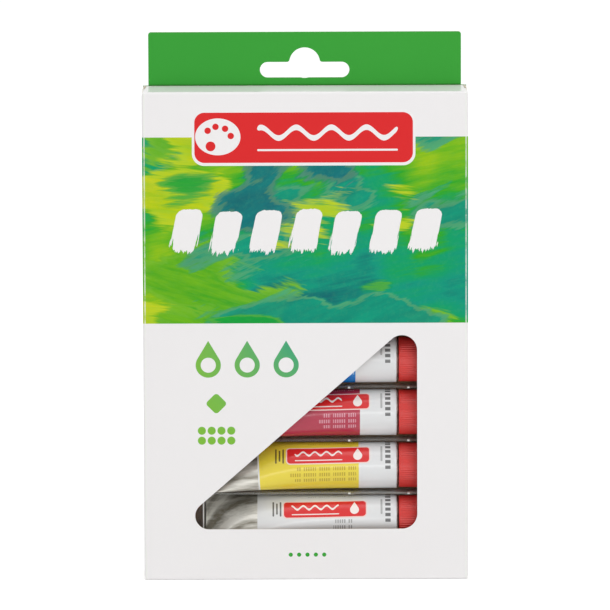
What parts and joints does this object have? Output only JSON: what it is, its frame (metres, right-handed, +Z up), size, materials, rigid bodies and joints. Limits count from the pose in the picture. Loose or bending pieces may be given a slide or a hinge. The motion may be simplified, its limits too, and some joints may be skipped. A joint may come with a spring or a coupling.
{
  "type": "gouache paint set box",
  "caption": "Hanging carton with a rounded triangular window, a hinged tuck-in lid and a clear tray that holds paint tubes with ribbed screw caps.",
  "frame": {"origin": "middle of the carton's bottom, on the surface it stands on", "axes": "+Z up, front wall with the window faces -Y, +X to the right seen from the front"},
  "size_m": [0.116, 0.021, 0.1952],
  "materials": {
    "carton_board": "printed and varnished folding board",
    "tray_film": "clear thermoformed film",
    "tube_aluminium": "soft bare metal, lacquered where printed",
    "cap_plastic": "satin moulded, ribbed",
    "paint_white": "thick opaque paste",
    "paint_yellow": "thick opaque paste",
    "paint_rose": "thick opaque paste",
    "paint_blue": "thick opaque paste",
    "paint_green": "thick opaque paste",
    "paint_orange": "thick opaque paste",
    "paint_brown": "thick opaque paste",
    "paint_black": "thick opaque paste"
  },
  "bodies": {
    "carton": {"front_panel": "carton_board", "back_panel": "carton_board", "left_panel": "carton_board", "right_panel": "carton_board", "header_ply": "carton_board", "glue_flap": "carton_board", "bottom_outer_flap": "carton_board", "bottom_inner_flap": "carton_board", "bottom_dust_flap_left": "carton_board", "bottom_dust_flap_right": "carton_board", "tray": "tray_film", "tube_1": "tube_aluminium", "tube_2": "tube_aluminium", "tube_3": "tube_aluminium", "tube_4": "tube_aluminium", "tube_5": "tube_aluminium", "tube_6": "tube_aluminium", "tube_7": "tube_aluminium", "tube_8": "tube_aluminium", "paint_1": "paint_white", "paint_2": "paint_yellow", "paint_3": "paint_rose", "paint_4": "paint_blue", "paint_5": "paint_green", "paint_6": "paint_orange", "paint_7": "paint_brown", "paint_8": "paint_black"},
    "lid": {"top_lid": "carton_board"},
    "tuck": {"tuck_flap": "carton_board"},
    "left_dust_flap": {"top_dust_flap_left": "carton_board"},
    "right_dust_flap": {"top_dust_flap_right": "carton_board"},
    "cap_1_body": {"cap_1": "cap_plastic"},
    "cap_2_body": {"cap_2": "cap_plastic"},
    "cap_3_body": {"cap_3": "cap_plastic"},
    "cap_4_body": {"cap_4": "cap_plastic"},
    "cap_5_body": {"cap_5": "cap_plastic"},
    "cap_6_body": {"cap_6": "cap_plastic"},
    "cap_7_body": {"cap_7": "cap_plastic"},
    "cap_8_body": {"cap_8": "cap_plastic"}
  },
  "joints": [
    {"name": "lid_hinge", "type": "hinge", "parent": "carton", "child": "lid", "pos_m": [0, -0.0105, 0.176], "axis": [1, 0, 0], "range_deg": [0, 225]},
    {"name": "tuck_flap_hinge", "type": "hinge", "parent": "lid", "child": "tuck", "pos_m": [0, 0.0093, 0.176], "axis": [1, 0, 0], "range_deg": [0, 27]},
    {"name": "left_dust_flap_hinge", "type": "hinge", "parent": "carton", "child": "left_dust_flap", "pos_m": [-0.058, 0, 0.17525], "axis": [0, -1, 0], "range_deg": [0, 90]},
    {"name": "right_dust_flap_hinge", "type": "hinge", "parent": "carton", "child": "right_dust_flap", "pos_m": [0.058, 0, 0.17525], "axis": [0, 1, 0], "range_deg": [0, 90]},
    {"name": "cap_1_turn", "type": "hinge", "parent": "carton", "child": "cap_1_body", "pos_m": [0.03325, 0.0008, 0.02053], "axis": [1, 0, 0], "continuous": true},
    {"name": "cap_2_turn", "type": "hinge", "parent": "carton", "child": "cap_2_body", "pos_m": [0.03325, 0.0008, 0.03974], "axis": [1, 0, 0], "continuous": true},
    {"name": "cap_3_turn", "type": "hinge", "parent": "carton", "child": "cap_3_body", "pos_m": [0.03325, 0.0008, 0.05896], "axis": [1, 0, 0], "continuous": true},
    {"name": "cap_4_turn", "type": "hinge", "parent": "carton", "child": "cap_4_body", "pos_m": [0.03325, 0.0008, 0.07817], "axis": [1, 0, 0], "continuous": true},
    {"name": "cap_5_turn", "type": "hinge", "parent": "carton", "child": "cap_5_body", "pos_m": [0.03325, 0.0008, 0.09738], "axis": [1, 0, 0], "continuous": true},
    {"name": "cap_6_turn", "type": "hinge", "parent": "carton", "child": "cap_6_body", "pos_m": [0.03325, 0.0008, 0.11659], "axis": [1, 0, 0], "continuous": true},
    {"name": "cap_7_turn", "type": "hinge", "parent": "carton", "child": "cap_7_body", "pos_m": [0.03325, 0.0008, 0.13581], "axis": [1, 0, 0], "continuous": true},
    {"name": "cap_8_turn", "type": "hinge", "parent": "carton", "child": "cap_8_body", "pos_m": [0.03325, 0.0008, 0.15502], "axis": [1, 0, 0], "continuous": true}
  ],
  "couplings": [
    {"joint": "tuck_flap_hinge", "follows": "lid_hinge", "ratio": 0.12},
    {"joint": "left_dust_flap_hinge", "follows": "lid_hinge", "ratio": 0.4},
    {"joint": "right_dust_flap_hinge", "follows": "lid_hinge", "ratio": 0.4}
  ]
}
